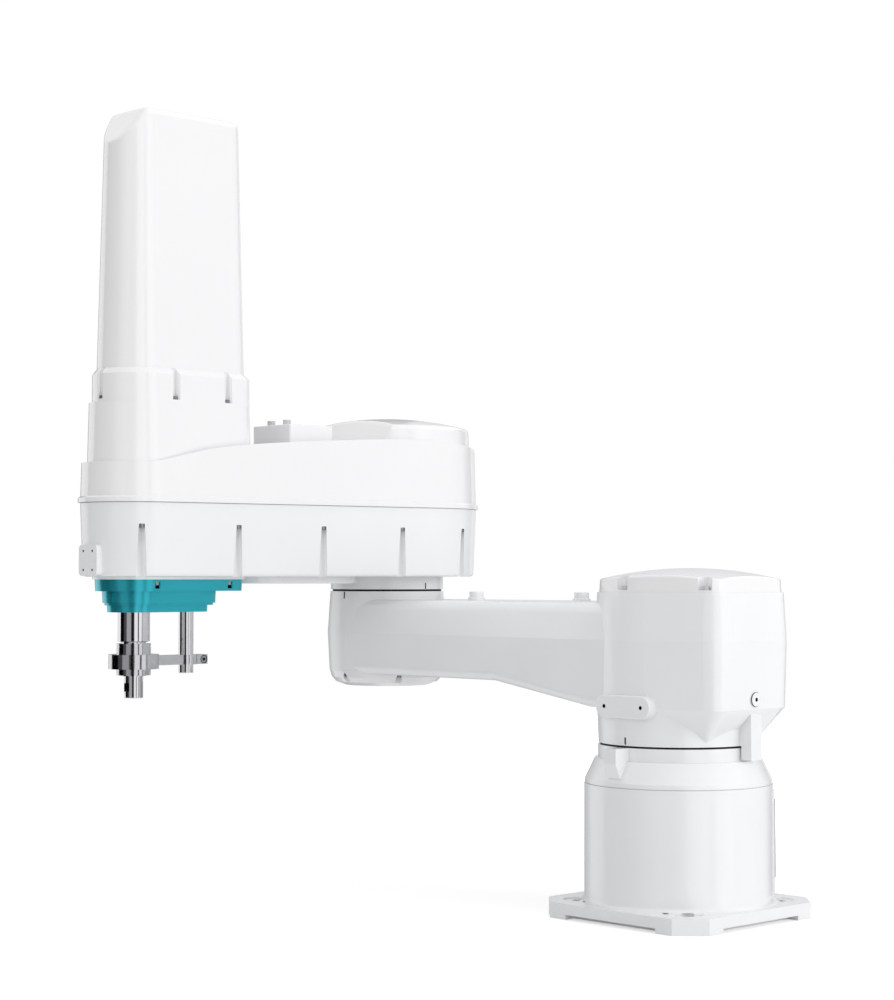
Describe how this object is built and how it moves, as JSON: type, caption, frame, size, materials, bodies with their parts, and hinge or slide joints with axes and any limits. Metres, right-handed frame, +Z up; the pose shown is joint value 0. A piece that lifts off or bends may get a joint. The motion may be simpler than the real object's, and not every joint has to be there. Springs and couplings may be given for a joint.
{
  "type": "scara robot",
  "caption": "Four-axis arm robot on a bolted flange base: two horizontal links, a tall drive column and a lifting, turning tool shaft.",
  "frame": {"origin": "centre of the base flange's bolt pattern on its underside", "axes": "+Z up along the first joint, +X towards the front of the base, away from its connector panel"},
  "size_m": [0.6687, 0.8146, 1.045],
  "materials": {
    "cast_paint": "cast aluminium with white satin paint",
    "cover_paint": "moulded cover in white",
    "teal_shell": "moulded cover in teal",
    "polished_steel": "hard chromed and ground",
    "clamp_steel": "turned steel",
    "machine_steel": "ground steel",
    "plain_aluminium": "machined",
    "motor_black": "black painted servo housing",
    "screw_steel": "zinc plated",
    "black_rubber": "matte rubber",
    "black_plastic": "moulded connector body",
    "panel_grey": "anodised plate",
    "nickel_brass": "nickel plated brass"
  },
  "bodies": {
    "base": {"base_body": "cast_paint", "base_head": "cast_paint", "j1_reducer": "plain_aluminium", "rear_panel": "panel_grey", "power_socket": "black_plastic", "signal_socket": "black_plastic", "user_socket": "black_plastic", "air_ports": "nickel_brass", "panel_screws": "screw_steel"},
    "inner_arm": {"inner_arm_casting": "cast_paint", "j1_lid": "cover_paint", "j1_lid_screws": "screw_steel", "j1_motor": "motor_black", "j1_output": "machine_steel", "j1_seal": "black_rubber", "housing_plug": "cover_paint", "beam_caps": "cover_paint", "elbow_cover": "cover_paint", "elbow_cover_screws": "screw_steel", "j2_reducer": "plain_aluminium"},
    "outer_arm": {"outer_arm_pan": "cast_paint", "arm_gasket": "black_rubber", "upper_cover": "cover_paint", "arm_screws": "screw_steel", "column_cover": "cover_paint", "column_screws": "screw_steel", "motor_hatch": "cover_paint", "connector_block": "cover_paint", "block_fittings": "nickel_brass", "under_plate": "cover_paint", "cover_plate": "cover_paint", "shaft_cover": "teal_shell", "shaft_cover_screws": "screw_steel", "j2_output": "machine_steel", "j2_seal": "black_rubber", "j2_motor": "motor_black", "drive_plate": "plain_aluminium", "spline_housing": "plain_aluminium", "spline_bearings": "machine_steel", "rod_bush": "machine_steel", "screw_bearing": "machine_steel", "screw_frame": "plain_aluminium", "z_motor": "motor_black", "roll_motor": "motor_black", "z_belt": "black_rubber", "roll_belt": "black_rubber"},
    "screw": {"ball_screw": "machine_steel", "screw_pulley": "plain_aluminium"},
    "z_pinion": {"z_motor_pulley": "plain_aluminium"},
    "spline": {"spline_nut": "machine_steel", "spline_pulley": "plain_aluminium"},
    "roll_pinion": {"roll_motor_pulley": "plain_aluminium"},
    "lift": {"screw_nut": "machine_steel", "carriage": "plain_aluminium", "guide_rod": "polished_steel", "clamp_bar": "clamp_steel", "pinch_screw": "screw_steel", "bearing_collar": "clamp_steel"},
    "tool": {"tool_shaft": "polished_steel"}
  },
  "joints": [
    {"name": "j1_turn", "type": "hinge", "parent": "base", "child": "inner_arm", "pos_m": [0, 0, 0.2], "axis": [0, 0, 1], "range_deg": [-42, 222]},
    {"name": "j2_turn", "type": "hinge", "parent": "inner_arm", "child": "outer_arm", "pos_m": [0, -0.55, 0.41], "axis": [0, 0, 1], "range_deg": [-240, 60]},
    {"name": "z_slide", "type": "slide", "parent": "outer_arm", "child": "lift", "axis": [0, 0, 1], "range_m": [-0.39, 0.03]},
    {"name": "tool_turn", "type": "hinge", "parent": "lift", "child": "tool", "pos_m": [0.45, -0.55, 0.27], "axis": [0, 0, 1], "range_deg": [-360, 360]},
    {"name": "screw_turn", "type": "hinge", "parent": "outer_arm", "child": "screw", "pos_m": [0.335, -0.55, 0.6], "axis": [0, 0, 1], "range_deg": [-544, 7024]},
    {"name": "z_motor_turn", "type": "hinge", "parent": "outer_arm", "child": "z_pinion", "pos_m": [0.268, -0.6, 0.53], "axis": [0, 0, 1], "range_deg": [-580, 7492]},
    {"name": "spline_turn", "type": "hinge", "parent": "outer_arm", "child": "spline", "pos_m": [0.45, -0.55, 0.5], "axis": [0, 0, 1], "range_deg": [-360, 360]},
    {"name": "roll_motor_turn", "type": "hinge", "parent": "outer_arm", "child": "roll_pinion", "pos_m": [0.212, -0.55, 0.55], "axis": [0, 0, 1], "range_deg": [-820, 820]}
  ],
  "couplings": [
    {"joint": "screw_turn", "follows": "z_slide", "rad_per_m": -314.16},
    {"joint": "z_motor_turn", "follows": "z_slide", "rad_per_m": -335.1},
    {"joint": "spline_turn", "follows": "tool_turn", "ratio": 1},
    {"joint": "roll_motor_turn", "follows": "tool_turn", "ratio": 2.2667}
  ]
}
